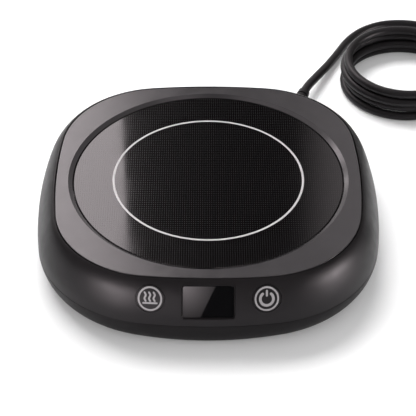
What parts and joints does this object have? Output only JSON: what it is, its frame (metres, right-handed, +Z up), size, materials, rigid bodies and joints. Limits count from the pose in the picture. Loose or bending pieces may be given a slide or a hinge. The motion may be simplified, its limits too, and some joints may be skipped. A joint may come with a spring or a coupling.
{
  "type": "electric mug warmer",
  "caption": "Low rounded-square electric mug warmer with an inset round glass heating plate, a front display between round keys, and a coiled mains cord with plug.",
  "frame": {"origin": "on the table, under the middle of the warmer's body, its cord and plug left out", "axes": "+Z up; the display and keys face -Y; +X is to the right of someone who faces the display; the cord leaves at +X +Y"},
  "size_m": [0.216, 0.2404, 0.031],
  "materials": {
    "housing": "satin black moulded plastic",
    "connector_plastic": "natural nylon",
    "steel": "zinc plated",
    "aluminium": "mill finish",
    "circuit_board": "solder mask",
    "component_black": "moulded component",
    "cord_rubber": "soft black flexible sheath",
    "heater_insulation": "glass fibre sleeve",
    "module_plastic": "white display case",
    "display_pane": "smoked clear display cover",
    "capacitor_yellow": "dipped film case",
    "foot_rubber": "matt",
    "dark_glass": "polished black glass with a printed ring and dot pattern",
    "heater_foil": "amber film over etched foil",
    "felt": "pressed ceramic felt",
    "wire_brown": "insulated wire",
    "wire_blue": "insulated wire",
    "silicone": "matt",
    "plug_brass": "nickel plated",
    "ribbon_grey": "ribbed flat cable",
    "brass": "plain",
    "ceramic": "white ceramic body",
    "deck": "fine matt dark grey plastic",
    "ferrite": "sintered ferrite",
    "winding_tape": "polyester tape",
    "terminal_green": "screw terminal plastic"
  },
  "bodies": {
    "body": {"base_shell": "housing", "board_headers": "connector_plastic", "case_screws": "steel", "clamp_screws": "steel", "clip_rivets": "aluminium", "control_board": "circuit_board", "control_board_screws": "steel", "control_chip": "component_black", "cord": "cord_rubber", "cord_clamp": "housing", "cord_coil": "cord_rubber", "cord_tail": "cord_rubber", "cutout_clip": "steel", "cutout_wires": "heater_insulation", "display_bezel": "housing", "display_module": "module_plastic", "display_window": "display_pane", "film_capacitor": "capacitor_yellow", "foot_front_left": "foot_rubber", "foot_front_right": "foot_rubber", "foot_rear_left": "foot_rubber", "foot_rear_right": "foot_rubber", "glass_plate": "dark_glass", "heat_shield": "steel", "heat_shield_screws": "steel", "heat_spreader": "aluminium", "heat_switch": "component_black", "heater_relay": "component_black", "heater_wires": "heater_insulation", "heating_element": "heater_foil", "inner_lead": "cord_rubber", "insulation_felt": "felt", "live_wire": "wire_brown", "mains_fuse": "capacitor_yellow", "neutral_wire": "wire_blue", "plate_gasket": "silicone", "plug_blades": "plug_brass", "plug_body": "cord_rubber", "power_board": "circuit_board", "power_board_screws": "steel", "power_switch": "component_black", "probe_clip": "steel", "probe_wires": "component_black", "ribbon_cable": "ribbon_grey", "ribbon_socket": "connector_plastic", "smoothing_capacitor": "component_black", "strain_relief": "cord_rubber", "temperature_probe": "brass", "thermal_cutout": "ceramic", "top_deck": "deck", "transformer_core": "ferrite", "transformer_winding": "winding_tape", "upper_housing": "housing", "wire_terminals": "terminal_green"},
    "heat_key": {"heat_key": "housing", "heat_switch_plunger": "component_black"},
    "power_key": {"power_key": "housing", "power_switch_plunger": "component_black"}
  },
  "joints": [
    {"name": "heat_key_press", "type": "slide", "parent": "body", "child": "heat_key", "axis": [0, 0.9166, -0.3999], "range_m": [0, 0.0005], "stiffness_N_per_m": 800, "springref_m": -0.0003},
    {"name": "power_key_press", "type": "slide", "parent": "body", "child": "power_key", "axis": [0, 0.9166, -0.3999], "range_m": [0, 0.0005], "stiffness_N_per_m": 800, "springref_m": -0.0003}
  ]
}
